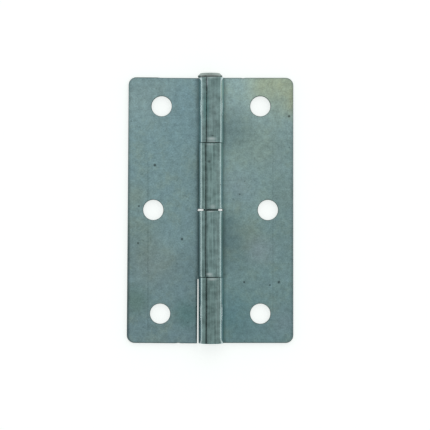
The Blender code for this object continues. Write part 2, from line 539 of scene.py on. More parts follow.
    def add_lines_and_barrel_shade(self, tree: Tree, parts: Outputs, shade: Socket) -> Socket:
        """Draw soft lines along Y: those the rolls leave, and strips of painted shade and painted
        light beside the barrel.

        Args:
            tree: The material's tree.
            parts: The separated object coordinates.
            shade: The brightness factor so far.

        Returns:
            The new brightness factor.
        """
        for across, wide, middle, half, depth in self.lines:
            share = depth
            for axis, centre, near, far in (
                ("X", across, 0.4 * wide, 1.3 * wide),
                ("Y", middle, half - 1.0, half + 1.0),
            ):
                off = add_node(
                    tree,
                    "ShaderNodeMath",
                    {0: parts[axis], 1: centre * MM},
                    operation="SUBTRACT",
                ).outputs[0]
                away = add_node(
                    tree, "ShaderNodeMath", {0: off}, operation="ABSOLUTE"
                ).outputs[0]
                fade = add_node(
                    tree,
                    "ShaderNodeMapRange",
                    {
                        "Value": away,
                        "From Min": near * MM,
                        "From Max": far * MM,
                        "To Min": 1.0,
                        "To Max": 0.0,
                    },
                    interpolation_type="SMOOTHSTEP",
                ).outputs[0]
                share = add_node(
                    tree, "ShaderNodeMath", {0: fade, 1: share}, operation="MULTIPLY"
                ).outputs[0]
            shade = add_node(
                tree, "ShaderNodeMath", {0: share, 1: -1.0, 2: shade}, operation="MULTIPLY_ADD"
            ).outputs[0]
        return shade

    def add_rim_shade(self, tree: Tree, place: Socket, parts: Outputs, shade: Socket) -> Socket:
        """Paint shade along the leaf's outer edges, where the shear drags the sheet down and turns it
        from the light.

        Args:
            tree: The material's tree.
            place: Object coordinates.
            parts: The same, separated.
            shade: The brightness factor so far.

        Returns:
            The new brightness factor.
        """
        x, y, degrees = self.seat
        squared = add_node(
            tree,
            "ShaderNodeMapping",
            {
                "Vector": place,
                "Location": (x * MM, y * MM, 0.0),
                "Rotation": (0.0, 0.0, math.radians(degrees)),
                "Scale": (1.0, 1.0, 0.0),
            },
            vector_type="TEXTURE",
        ).outputs[0]
        mirrored = add_node(
            tree, "ShaderNodeVectorMath", {0: squared}, operation="ABSOLUTE"
        ).outputs[0]
        inset = (self.half_size[0] - self.corner, self.half_size[1] - self.corner, 1.0)
        past = add_node(
            tree, "ShaderNodeVectorMath", {0: mirrored, 1: inset}, operation="SUBTRACT"
        ).outputs[0]
        outside = add_node(
            tree, "ShaderNodeVectorMath", {0: past, 1: (0.0, 0.0, 0.0)}, operation="MAXIMUM"
        ).outputs[0]
        away = add_node(
            tree, "ShaderNodeVectorMath", {0: outside}, operation="LENGTH"
        ).outputs["Value"]
        near = add_node(
            tree,
            "ShaderNodeMapRange",
            {
                "Value": away,
                "From Min": self.corner - self.rim_shade_width[1],
                "From Max": self.corner - self.rim_shade_width[0],
            },
            interpolation_type="SMOOTHSTEP",
        ).outputs[0]
        depth = add_node(
            tree,
            "ShaderNodeMapRange",
            {
                "Value": parts["Y"],
                "From Min": self.rim_shade_span[0],
                "From Max": self.rim_shade_span[1],
                "To Min": self.rim[1],
                "To Max": self.rim[0],
            },
        ).outputs[0]
        lost = add_node(
            tree, "ShaderNodeMath", {0: near, 1: depth}, operation="MULTIPLY"
        ).outputs[0]
        kept = add_node(tree, "ShaderNodeMath", {0: 1.0, 1: lost}, operation="SUBTRACT").outputs[0]
        return add_node(
            tree, "ShaderNodeMath", {0: shade, 1: kept}, operation="MULTIPLY"
        ).outputs[0]

    def add_scratches(self, tree: Tree, place: Socket, shade: Socket) -> Socket:
        """Draw the short scratches of handling.

        Args:
            tree: The material's tree.
            place: Object coordinates.
            shade: The brightness factor so far.

        Returns:
            The new brightness factor.
        """
        for x, y, degrees, half, gain in self.scratches:
            turned = add_node(
                tree,
                "ShaderNodeMapping",
                {
                    "Vector": place,
                    "Location": (x * MM, y * MM, 0.0),
                    "Rotation": (0.0, 0.0, math.radians(degrees)),
                    "Scale": (half * MM, self.scratch_width, 1.0),
                },
                vector_type="TEXTURE",
            ).outputs[0]
            parts = add_node(tree, "ShaderNodeSeparateXYZ", {0: turned}).outputs
            flat = add_node(
                tree, "ShaderNodeCombineXYZ", {"X": parts["X"], "Y": parts["Y"]}
            ).outputs[0]
            away = add_node(
                tree, "ShaderNodeVectorMath", {0: flat}, operation="LENGTH"
            ).outputs["Value"]
            share = add_node(
                tree,
                "ShaderNodeMapRange",
                {"Value": away, "From Min": 0.3, "To Min": gain, "To Max": 0.0},
                interpolation_type="SMOOTHSTEP",
            ).outputs[0]
            shade = add_node(tree, "ShaderNodeMath", {0: shade, 1: share}, operation="ADD").outputs[0]
        return shade


@dataclass(frozen=True)
class RolledPlate:
    """The same zinc plate where the die has rolled it round the pin.

    The die burnishes it, so it is a clearer mirror than the flat leaf, with
    fine drawing lines along the pin. A mark has its length along the sheet
    from the root, its Y, its half width and half height, its colour and share.
    """

    name: str
    light: str
    dark: str
    marks: tuple[Mark, ...]
    roughness: float = 0.13
    roughness_drift: float = 0.03
    line_pitch: float = 0.30 * MM
    line_length: float = 14.0 * MM
    cloud: float = 2.2 * MM
    crown: float = 9.58 * MM
    band: float = 3.05 * MM
    band_width: float = 0.85 * MM
    # Colour of the painted highlights in the two bands on the flanks.
    burnish_and_sheen: str = "#e2f2f5"

    def material(self) -> bpy.types.Material:
        """Build the knuckle's material.

        Returns:
            The material, patterned on the sheet as it was before rolling.
        """
        material, tree = new_material(self.name)
        flat = add_node(tree, "ShaderNodeAttribute", attribute_name="unrolled").outputs["Vector"]
        stretched = add_node(
            tree,
            "ShaderNodeMapping",
            {"Vector": flat, "Scale": (1 / self.line_pitch, 1 / self.line_length, 0.0)},
        ).outputs[0]
        # Drawing lines, really 0.05 mm apart, drawn at 0.3 mm so that they show.
        lines = add_node(
            tree,
            "ShaderNodeTexNoise",
            {"Vector": stretched, "Scale": 1.0, "Detail": 3.0, "Roughness": 0.6},
        ).outputs["Fac"]
        # Cloudy patches that the die leaves, 2.2 mm wide.
        clouds = add_node(
            tree,
            "ShaderNodeTexNoise",
            {"Vector": flat, "Scale": 1 / self.cloud, "Detail": 4.0, "Roughness": 0.65},
        ).outputs["Fac"]
        both = add_node(
            tree, "ShaderNodeMath", {0: lines, 1: clouds}, operation="ADD"
        ).outputs[0]
        share = add_node(
            tree, "ShaderNodeMapRange", {"Value": both, "From Min": 0.84, "From Max": 1.16}
        ).outputs[0]
        colour = add_node(
            tree,
            "ShaderNodeMix",
            {"Factor": share, "A": linear(self.dark), "B": linear(self.light)},
            data_type="RGBA",
        ).outputs["Result"]
        colour = self.add_highlight_bands(tree, flat, colour)
        colour = self.add_marks(tree, flat, colour)
        rough = add_node(
            tree,
            "ShaderNodeMapRange",
            {
                "Value": clouds,
                "From Min": 0.3,
                "From Max": 0.7,
                "To Min": self.roughness - self.roughness_drift,
                "To Max": self.roughness + self.roughness_drift,
            },
        ).outputs[0]
        finish_metal(tree, colour, rough, lines, 0.3, 0.01)
        return material

    def add_highlight_bands(self, tree: Tree, flat: Socket, colour: Socket) -> Socket:
        """Paint highlights on the two bands on the flanks, where the barrel's sides mirror the bright
        ground.

        Args:
            tree: The material's tree.
            flat: Place on the sheet before rolling.
            colour: The colour so far.

        Returns:
            The banded colour.
        """
        across = add_node(tree, "ShaderNodeSeparateXYZ", {0: flat}).outputs["X"]
        from_crown = add_node(
            tree, "ShaderNodeMath", {0: across, 1: self.crown}, operation="ADD"
        ).outputs[0]
        side = add_node(tree, "ShaderNodeMath", {0: from_crown}, operation="ABSOLUTE").outputs[0]
        off_band = add_node(
            tree, "ShaderNodeMath", {0: side, 1: self.band}, operation="SUBTRACT"
        ).outputs[0]
        beside = add_node(tree, "ShaderNodeMath", {0: off_band}, operation="ABSOLUTE").outputs[0]
        # Painted highlight: each band is mixed toward the near-white colour.
        share = add_node(
            tree,
            "ShaderNodeMapRange",
            {"Value": beside, "From Max": self.band_width, "To Min": 0.95, "To Max": 0.0},
            interpolation_type="SMOOTHSTEP",
        ).outputs[0]
        return add_node(
            tree,
            "ShaderNodeMix",
            {"Factor": share, "A": colour, "B": linear(self.burnish_and_sheen)},
            data_type="RGBA",
        ).outputs["Result"]

    def add_marks(self, tree: Tree, flat: Socket, colour: Socket) -> Socket:
        """Lay on the pits, and the painted light and painted shade at the knuckles' ends and along
        their flanks.

        Args:
            tree: The material's tree.
            flat: Place on the sheet before rolling.
            colour: The colour so far.

        Returns:
            The marked colour.
        """
        for along, y, wide, tall, shown, most in self.marks:
            squeezed = add_node(
                tree,
                "ShaderNodeMapping",
                {
                    "Vector": flat,
                    "Location": (along / wide, -y / tall, 0.0),
                    "Scale": (1 / (wide * MM), 1 / (tall * MM), 0.0),
                },
            ).outputs[0]
            away = add_node(
                tree, "ShaderNodeVectorMath", {0: squeezed}, operation="LENGTH"
            ).outputs["Value"]
            share = add_node(
                tree,
                "ShaderNodeMapRange",
                {"Value": away, "To Min": most, "To Max": 0.0},
                interpolation_type="SMOOTHSTEP",
            ).outputs[0]
            colour = add_node(
                tree,
                "ShaderNodeMix",
                {"Factor": share, "A": colour, "B": linear(shown)},
                data_type="RGBA",
            ).outputs["Result"]
        return colour


@dataclass(frozen=True)
class ShearedEdge:
    """Plated steel where the press has sheared the sheet.

    The cut face is torn and dull below a narrow burnished band.
    """

    name: str
    light: str
    dark: str
    tear_pitch: float = 0.25 * MM
    tear_length: float = MM / 0.7

    def material(self) -> bpy.types.Material:
        """Build the edge's material.

        Returns:
            The material, patterned in the object's own metres.
        """
        material, tree = new_material(self.name)
        place = add_node(tree, "ShaderNodeTexCoord").outputs["Object"]
        # Tear marks of the shear run through the sheet, about 0.25 mm apart.
        scale = (1 / self.tear_pitch, 1 / self.tear_pitch, 1 / self.tear_length)
        stretched = add_node(
            tree, "ShaderNodeMapping", {"Vector": place, "Scale": scale}
        ).outputs[0]
        tears = add_node(
            tree,
            "ShaderNodeTexNoise",
            {"Vector": stretched, "Scale": 1.0, "Detail": 3.0, "Roughness": 0.65},
        ).outputs["Fac"]
        colour = add_node(
            tree,
            "ShaderNodeMix",
            {"Factor": tears, "A": linear(self.dark), "B": linear(self.light)},
            data_type="RGBA",
        ).outputs["Result"]
        rough = add_node(
            tree,
            "ShaderNodeMapRange",
            {"Value": tears, "From Min": 0.3, "From Max": 0.7, "To Min": 0.5, "To Max": 0.36},
        ).outputs[0]
        finish_metal(tree, colour, rough, tears, 0.5, 0.02)
        return material


@dataclass(frozen=True)
class DrawnWire:
    """Plated steel wire of the pin, drawn and then upset cold.

    Drawing leaves fine lines along the shank and a grey satin gloss.
    """

    name: str
    light: str
    dark: str
    shank_shade: str
    head_start: float = 39.3 * MM
    roughness: float = 0.28
    line_pitch: float = MM / 3
    line_length: float = MM / 0.26

    def material(self) -> bpy.types.Material:
        """Build the pin's material.

        Returns:
            The material, patterned in the object's own metres.
        """
        material, tree = new_material(self.name)
        place = add_node(tree, "ShaderNodeTexCoord").outputs["Object"]
        scale = (1 / self.line_pitch, 1 / self.line_length, 1 / self.line_pitch)
        stretched = add_node(
            tree, "ShaderNodeMapping", {"Vector": place, "Scale": scale}
        ).outputs[0]
        # Drawing lines along the wire, drawn at 0.3 mm so that they show.
        lines = add_node(
            tree,
            "ShaderNodeTexNoise",
            {"Vector": stretched, "Scale": 1.0, "Detail": 4.0, "Roughness": 0.6},
        ).outputs["Fac"]
        colour = add_node(
            tree,
            "ShaderNodeMix",
            {"Factor": lines, "A": linear(self.dark), "B": linear(self.light)},
            data_type="RGBA",
        ).outputs["Result"]
        # Painted shade: inside the knuckles, which shade it, the shank is painted darker, and only its
        # head keeps the wire's colour.
        along = add_node(tree, "ShaderNodeSeparateXYZ", {0: place}).outputs["Y"]
        unshaded = add_node(
            tree,
            "ShaderNodeMapRange",
            {
                "Value": along,
                "From Min": self.head_start - 0.1 * MM,
                "From Max": self.head_start + 0.1 * MM,
            },
        ).outputs[0]
        colour = add_node(
            tree,
            "ShaderNodeMix",
            {"Factor": unshaded, "A": linear(self.shank_shade), "B": colour},
            data_type="RGBA",
        ).outputs["Result"]
        finish_metal(tree, colour, self.roughness, lines, 0.3, 0.015)
        return material


@dataclass
class LeafBlank:
    """The flat stamping of a leaf that reaches out to +X, before rolling.

    Its tabs run out to -X. Y is measured from the middle of the leaf.
    The growths and reliefs are what the press has left too long or too short:

    tab_growth: how far each tab's +Y end passes its joint.
    foot_growth: how far the first tab's -Y end does, on top and beside it.
    far_growth, near_growth: the leaf's +Y end, and its -Y end and last tab.
    near_step: a step in the leaf's -Y end.
    end_relief, corner_relief: how much deeper the notch is cut at its ends.
    slot_step, root_relief: cuts at a tab's root that let the leaves swing.
    chips: X, half width and depth of each chip in the +Y end.
    nick: the fillet's radius at a tab's root.
    """

    reach: float
    end_hole_edge: float
    mid_hole_edge: float
    tab_growth: Point
    foot_growth: Point
    nick: float
    chips: tuple[Chip, ...]
    notch: float = 3.48 * MM
    skew: float = 0.0
    play: float = 0.0
    end_relief: float = 0.0
    corner_relief: float = 0.0
    slot_step: float = 0.0
    root_relief: float = 0.0
    far_growth: float = 0.0
    near_growth: Point = (0.0, 0.0)
    near_step: float = 0.0
    near_step_span: Point = (15.2 * MM, 16.6 * MM)
    flank_growth: float = 0.045 * MM
    corner: float = 2.35 * MM
    fillet: float = 0.2 * MM
    fillet_steps: int = 10
    hole_radius: float = 3.05 * MM
    hole_inset: float = 8.6 * MM
    hole_sides: int = 72
    edge_round: float = 0.16 * MM
    strip_length: float = 16.14 * MM
    strips: int = 96
    end_cuts: tuple[float, ...] = (0.22, 0.34, 0.48, 0.64, 0.82, 1.02, 1.25)

    def seated(self, x: float, y: float) -> Point:
        """Return a plan point turned by the skew and moved by the play."""
        angle = math.radians(self.skew)
        return (
            x * math.cos(angle) - y * math.sin(angle) + self.play,
            x * math.sin(angle) + y * math.cos(angle),
        )

    def put(self, x: float, y: float, radius: float = 0.0) -> Corner:
        """Return a seated corner of the outline with its fillet radius."""
        return (*self.seated(x, y), radius)

    def crowned(self, crown: float, flank: float) -> list[Corner]:
        """Return the corners by which a tab's end is cut back over its crown.

        Args:
            crown: Y of the end where it will lie on top of the barrel.
            flank: Y of the end beside that.

        Returns:
            The corners, from the root outwards.
        """
        bends = ((-6.8, flank), (-7.6, crown), (-11.5, crown), (-12.3, flank))
        return [(x * MM, y, 0.0) for x, y in bends]

    def first_tab(self, foot: float) -> list[Corner]:
        """Return the corners round the tab nearer to the +Y end.

        Args:
            foot: Y of its -Y end beside the crown.

        Returns:
            The corners, from its root at +Y to its root at -Y.
        """
        upper = KNUCKLE_PITCH - KNUCKLE_GAP / 2 + self.tab_growth[0]
        flank = upper + self.flank_growth
        relieved = self.notch + self.end_relief
        if self.slot_step > 0:
            deep, small, step_x = flank + self.slot_step, self.nick * 0.5, 3.15 * MM
            corners = [self.put(relieved, deep, small), (step_x, deep, small), (step_x, flank, 0.0)]
        else:
            corners = [self.put(relieved, flank, self.nick)]
        corners += self.crowned(upper, flank)
        corners += [(-self.strip_length, flank, self.fillet), (-self.strip_length, foot, self.fillet)]
        corners += reversed(self.crowned(KNUCKLE_GAP / 2 - self.foot_growth[0], foot))
        return corners

    def notch_and_last_tab(self, foot: float) -> list[Corner]:
        """Return the corners of the notch between the tabs and of the last tab.

        Args:
            foot: Y at which the notch starts.

        Returns:
            The corners, down to the last tab's +Y end.
        """
        if self.corner_relief > 0:
            deep, middle = self.notch + self.corner_relief, -0.6 * KNUCKLE_GAP
            corners = [self.put(deep, foot, self.nick * 0.4)]
            corners += [self.put(deep, middle, self.nick * 0.4), self.put(self.notch, middle)]
        else:
            corners = [self.put(self.notch, foot, self.nick * 0.5)]
        upper = -KNUCKLE_PITCH - KNUCKLE_GAP / 2 + self.tab_growth[1]
        flank = upper + self.flank_growth
        if self.root_relief > 0:
            deep, root = flank - self.root_relief, 1.5 * MM
            corners += [(self.notch, deep, self.nick), (root, deep, self.nick), (root, flank, 0.0)]
        else:
            corners.append(self.put(self.notch, flank, self.nick))
        return corners + self.crowned(upper, flank) + [(-self.strip_length, flank, self.fillet)]

    def outline(self) -> list[Point]:
        """Return the stamping's outline.

        Returns:
            Its points, counterclockwise from above.
        """
        near, far = -LEAF_END - self.near_growth[0], LEAF_END + self.far_growth
        beside = -LEAF_END - self.near_growth[1]
        start, end = self.near_step_span
        stepped = near - self.near_step
        foot = KNUCKLE_GAP / 2 - self.foot_growth[1]
        corners = [(-self.strip_length, beside, self.fillet), (0.0, beside, 0.0)]
        corners += [self.put(self.notch, near), self.put(start, near), self.put(end, stepped)]
        corners += [self.put(self.reach, stepped, self.corner), self.put(self.reach, far, self.corner)]
        for x, wide, deep in self.chips:
            corners += [self.put(x + wide, far), self.put(x, far - deep), self.put(x - wide, far)]
        corners.append(self.put(self.notch + self.end_relief, far, self.fillet))
        corners += self.first_tab(foot) + self.notch_and_last_tab(foot)
        return filleted(corners, self.fillet_steps)

    def hole_centres(self) -> list[Point]:
        """Find the three screw holes.

        Returns:
            Their centres, from the +Y end to the -Y end.
        """
        edges = (self.end_hole_edge, self.mid_hole_edge, self.end_hole_edge)
        rows = (1, 0, -1)
        inset = LEAF_END - self.hole_inset
        return [self.seated(self.reach - edge, row * inset) for edge, row in zip(edges, rows)]

    def mesh(self, name: str) -> bpy.types.Mesh:
        """Stamp the blank: outline and holes given the sheet's thickness.

        Args:
            name: Name of the mesh.

        Returns:
            The flat mesh, cut into strips where it will be rolled.
        """
        curve = bpy.data.curves.new(name + "_outline", "CURVE")
        curve.dimensions = "2D"
        curve.fill_mode = "BOTH"
        curve.extrude = SHEET / 2 - self.edge_round
        curve.bevel_depth = self.edge_round
        curve.bevel_resolution = 3
        curve.offset = -self.edge_round
        loops = [self.outline()]
        for centre in self.hole_centres():
            loops.append(arc(centre, self.hole_radius, 0.0, -360.0, self.hole_sides)[:-1])
        for loop in loops:
            spline = curve.splines.new("POLY")
            spline.points.add(len(loop) - 1)
            for point, (x, y) in zip(spline.points, loop):
                point.co = (x, y, 0.0, 1.0)
            spline.use_cyclic_u = True
        source = link_object(name + "_outline", curve)
        bpy.context.view_layer.update()
        graph = bpy.context.evaluated_depsgraph_get()
        mesh = bpy.data.meshes.new_from_object(source.evaluated_get(graph))
        bpy.data.objects.remove(source)
        mesh.name = name
        mesh.transform(Matrix.Translation((0.0, 0.0, SHEET / 2)))
        self.cut_strips(mesh)
        return mesh

    def cut_strips(self, mesh: bpy.types.Mesh) -> None:
        """Cut the tabs across, so that they can roll, and mark the zones.

        Args:
            mesh: The flat stamping, which is changed.
        """
        # A normal above the first is flat, and on a tab one below the second rolls to the outside.
        upright, under = 0.9999, -0.3
        shell = bmesh.new()
        shell.from_mesh(mesh)
        bmesh.ops.remove_doubles(shell, verts=shell.verts, dist=1e-7)
        cuts = []
        for index in range(self.strips):
            x = -self.strip_length * index / self.strips
            cuts.append(((x, 0.0, 0.0), (1.0, 0.0, 0.0)))
        half = KNUCKLE_GAP / 2
        tab_ends = (-2 * KNUCKLE_PITCH, -KNUCKLE_PITCH - half, half, KNUCKLE_PITCH - half)
        for number, edge in enumerate(tab_ends):
            inward = 1.0 if number % 2 == 0 else -1.0
            for away in self.end_cuts:
                cuts.append(((0.0, edge + inward * away * MM, 0.0), (0.0, 1.0, 0.0)))
        for place, normal in cuts:
            geometry = shell.verts[:] + shell.edges[:] + shell.faces[:]
            bmesh.ops.bisect_plane(
                shell, geom=geometry, dist=1e-8, plane_co=place, plane_no=normal
            )
        bmesh.ops.recalc_face_normals(shell, faces=shell.faces)
        for face in shell.faces:
            face.smooth = True
            flat = abs(face.normal.z) > upright
            on_tab = face.calc_center_median().x < 0
            if not flat and not (on_tab and face.normal.z < under):
                face.material_index = Zone.EDGE.value
            elif on_tab:
                face.material_index = Zone.KNUCKLE.value
            else:
                face.material_index = Zone.PLATE.value
        for edge in shell.edges:
            flats = [abs(face.normal.z) > upright for face in edge.link_faces]
            edge.smooth = len(flats) == 2 and flats[0] == flats[1]
        shell.to_mesh(mesh)
        shell.free()


@dataclass
class KnuckleRoll:
    """The rule by which the tabs of a blank are rolled round the pin.

    A point that lies a length s inside the root goes round the axis by
    s over the radius of the sheet's middle, at its own depth in the sheet.
    """

    shift: float
    sway: float
    end_draw: float = 0.015 * MM
    end_length: float = 0.9 * MM
    swell: float = 0.08 * MM
    rise: float = 1.5

    def inputs(self, finishes: list[bpy.types.Material]) -> dict[str, object]:
        """List what the roll's tree is given.

        Args:
            finishes: Plate, knuckle and edge materials.

        Returns:
            The inputs by name, lengths first and finishes last.
        """
        return {
            "Axis Height": AXIS_Z,
            "Sheet": SHEET,
            "End Draw": self.end_draw,
            "End Length": self.end_length,
            "Swell": self.swell,
            "Knuckle Pitch": KNUCKLE_PITCH,
            "Knuckle Gap": KNUCKLE_GAP,
            "Shift": self.shift,
            "Sway": self.sway,
            "Plate Finish": finishes[0],
            "Knuckle Finish": finishes[1],
            "Edge Finish": finishes[2],
        }

    def tree(self, values: dict[str, object]) -> tuple[Tree, dict[str, str]]:
        """Build the Geometry Nodes tree that rolls the tabs.

        Args:
            values: What its inputs will get, by name.

        Returns:
            The tree, and the identifier of each of its inputs by name.
        """
        tree = bpy.data.node_groups.new("knuckle_roll", "GeometryNodeTree")
        tree.interface.new_socket(name="Blank", in_out="INPUT", socket_type="NodeSocketGeometry")
        names = {}
        for label, value in values.items():
            kind = "NodeSocketFloat" if isinstance(value, float) else "NodeSocketMaterial"
            socket = tree.interface.new_socket(name=label, in_out="INPUT", socket_type=kind)
            names[label] = socket.identifier
        tree.interface.new_socket(name="Leaf", in_out="OUTPUT", socket_type="NodeSocketGeometry")
        given = add_node(tree, "NodeGroupInput").outputs
        place = add_node(tree, "GeometryNodeInputPosition").outputs[0]
        parts = add_node(tree, "ShaderNodeSeparateXYZ", {0: place}).outputs
        length = add_node(
            tree, "ShaderNodeMath", {0: 0.0, 1: parts["X"]}, operation="SUBTRACT"
        ).outputs[0]
        middle = add_node(
            tree,
            "ShaderNodeMath",
            {0: given["Sheet"], 1: -0.5, 2: given["Axis Height"]},
            operation="MULTIPLY_ADD",
        ).outputs[0]
        angle = add_node(
            tree, "ShaderNodeMath", {0: length, 1: middle}, operation="DIVIDE"
        ).outputs[0]
        radius = self.add_radius(tree, given, parts, angle)
        turned = {}
        for ratio in ("COSINE", "SINE"):
            share = add_node(tree, "ShaderNodeMath", {0: angle}, operation=ratio).outputs[0]
            turned[ratio] = add_node(
                tree, "ShaderNodeMath", {0: radius, 1: share}, operation="MULTIPLY"
            ).outputs[0]
        height = add_node(
            tree,
            "ShaderNodeMath",
            {0: given["Axis Height"], 1: turned["COSINE"]},
            operation="SUBTRACT",
        ).outputs[0]
        across = self.add_sway(tree, given, parts, angle, turned["SINE"])
        rolled = add_node(
            tree, "ShaderNodeCombineXYZ", {"X": across, "Y": parts["Y"], "Z": height}
        ).outputs[0]
        on_tab = add_node(
            tree, "FunctionNodeCompare", {0: length, 1: 0.0}, operation="GREATER_THAN"
        ).outputs[0]
        flat = add_node(
            tree,
            "GeometryNodeStoreNamedAttribute",
            {"Geometry": given["Blank"], "Name": "unrolled", "Value": place},
            data_type="FLOAT_VECTOR",
            domain="POINT",
        ).outputs[0]
        shaped = add_node(
            tree,
            "GeometryNodeSetPosition",
            {"Geometry": flat, "Selection": on_tab, "Position": rolled},
        ).outputs[0]
        index = add_node(tree, "GeometryNodeInputMaterialIndex").outputs[0]
        real = add_node(tree, "GeometryNodeRealizeInstances", {0: shaped}).outputs[0]
        for zone in Zone:
            finish = given[zone.name.title() + " Finish"]
            chosen = add_node(
                tree,
                "FunctionNodeCompare",
                {"A": index, "B": zone.value},
                data_type="INT",
                operation="EQUAL",
            )
            real = add_node(
                tree,
                "GeometryNodeSetMaterial",
                {"Geometry": real, "Selection": chosen.outputs[0], "Material": finish},
            ).outputs[0]
        add_node(tree, "NodeGroupOutput", {"Leaf": real})
        return tree, names

    def add_radius(self, tree: Tree, given: Outputs, parts: Outputs, angle: Socket) -> Socket:
        """Give each point its distance from the axis.

        Args:
            tree: The tree.
            given: The tree's inputs.
            parts: The separated position.
            angle: The angle round the axis.

        Returns:
            The radius, drawn in a little near each knuckle's ends.
        """
        depth = add_node(
            tree, "ShaderNodeMath", {0: given["Axis Height"], 1: parts["Z"]}, operation="SUBTRACT"
        ).outputs[0]
        half = add_node(
            tree, "ShaderNodeMath", {0: given["Knuckle Pitch"], 1: 0.5}, operation="MULTIPLY"
        ).outputs[0]
        # Ping-pong over half a pitch gives the distance to the nearest joint.
        wave = add_node(
            tree, "ShaderNodeMath", {0: parts["Y"], 1: half}, operation="PINGPONG"
        )
        joint = add_node(
            tree,
            "ShaderNodeMath",
            {0: given["Knuckle Gap"], 1: -0.5, 2: wave.outputs[0]},
            operation="MULTIPLY_ADD",
        ).outputs[0]
        share = add_node(
            tree,
            "ShaderNodeMath",
            {0: joint, 1: given["End Length"]},
            operation="DIVIDE",
            use_clamp=True,
        ).outputs[0]
        left = add_node(tree, "ShaderNodeMath", {0: 1.0, 1: share}, operation="SUBTRACT").outputs[0]
        bend = add_node(tree, "ShaderNodeMath", {0: left, 1: 2.0}, operation="POWER").outputs[0]
        draw = add_node(
            tree, "ShaderNodeMath", {0: bend, 1: given["End Draw"]}, operation="MULTIPLY"
        ).outputs[0]
        drawn = add_node(
            tree, "ShaderNodeMath", {0: depth, 1: draw}, operation="SUBTRACT"
        ).outputs[0]
        # The sheet springs back a little after the die, so the roll is not quite tight.
        eased = add_node(
            tree,
            "ShaderNodeMapRange",
            {"Value": angle, "From Max": self.rise},
            interpolation_type="SMOOTHSTEP",
        ).outputs[0]
        return add_node(
            tree,
            "ShaderNodeMath",
            {0: eased, 1: given["Swell"], 2: drawn},
            operation="MULTIPLY_ADD",
        ).outputs[0]

    def add_sway(
        self, tree: Tree, given: Outputs, parts: Outputs, angle: Socket, out: Socket
    ) -> Socket:
        """Let each knuckle stand a little off the pin's middle, by its play.

        Args:
            tree: The tree.
            given: The tree's inputs.
            parts: The separated position.
            angle: The angle round the axis.
            out: The distance across from the axis.

        Returns:
            The X of the rolled point.
        """
        rise = add_node(
            tree, "ShaderNodeMath", {0: angle, 1: self.rise}, operation="DIVIDE", use_clamp=True
        ).outputs[0]
        sign = add_node(tree, "ShaderNodeMath", {0: parts["Y"]}, operation="SIGN").outputs[0]
        swayed = add_node(
            tree, "ShaderNodeMath", {0: sign, 1: given["Sway"]}, operation="MULTIPLY"
        ).outputs[0]
        moved = add_node(
            tree, "ShaderNodeMath", {0: given["Shift"], 1: swayed}, operation="SUBTRACT"
        ).outputs[0]
        eased = add_node(
            tree, "ShaderNodeMath", {0: moved, 1: rise}, operation="MULTIPLY"
        ).outputs[0]
        return add_node(
            tree, "ShaderNodeMath", {0: eased, 1: out}, operation="SUBTRACT"
        ).outputs[0]

    def applied(
        self, name: str, blank: bpy.types.Mesh, finishes: list[bpy.types.Material]
    ) -> bpy.types.Mesh:
        """Roll a blank.

        Args:
            name: Name of the rolled mesh.
            blank: The flat stamping.
            finishes: Plate, knuckle and edge materials.

        Returns:
            The rolled mesh, with no modifier left to evaluate.
        """
        for finish in finishes:
            blank.materials.append(finish)
        obj = link_object(name + "_blank", blank)
        values = self.inputs(finishes)
        modifier = obj.modifiers.new("roll", "NODES")
        modifier.node_group, names = self.tree(values)
        for label, value in values.items():
            modifier[names[label]] = value
        bpy.context.view_layer.update()
        graph = bpy.context.evaluated_depsgraph_get()
        mesh = bpy.data.meshes.new_from_object(obj.evaluated_get(graph))
        mesh.name = name
        bpy.data.objects.remove(obj)
        return mesh


@dataclass
class HingeLeaf:
    """One leaf of the hinge: its blank, its roll and its place on the pin."""

    side: LeafSide
    blank: LeafBlank
    roll: KnuckleRoll
    plate: ZincPlate
    knuckle: RolledPlate
    edge: ShearedEdge
    slide: float = 0.0

    def build(self) -> bpy.types.Object:
        """Build and dress the leaf.

        Returns:
            The finished piece.
        """
        name = self.side.value + "_sheet"
        finishes = [self.plate.material(), self.knuckle.material(), self.edge.material()]
        mesh = self.roll.applied(name, self.blank.mesh(name + "_flat"), finishes)
        turn = math.pi if self.side is LeafSide.LEFT else 0.0
        seat = Matrix.Translation((0.0, AXIS_Y + self.slide, 0.0))
        mesh.transform(seat @ Matrix.Rotation(turn, 4, "Z"))
        return link_object(name, mesh)

    def place(self, piece: bpy.types.Object) -> None:
        """Put the leaf on its body in place of the CAD node.

        Args:
            piece: The finished leaf.
        """
        body = "left_leaf_and_pin" if self.side is LeafSide.LEFT else "right_leaf"
        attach(piece, body)
        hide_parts(self.side.value)


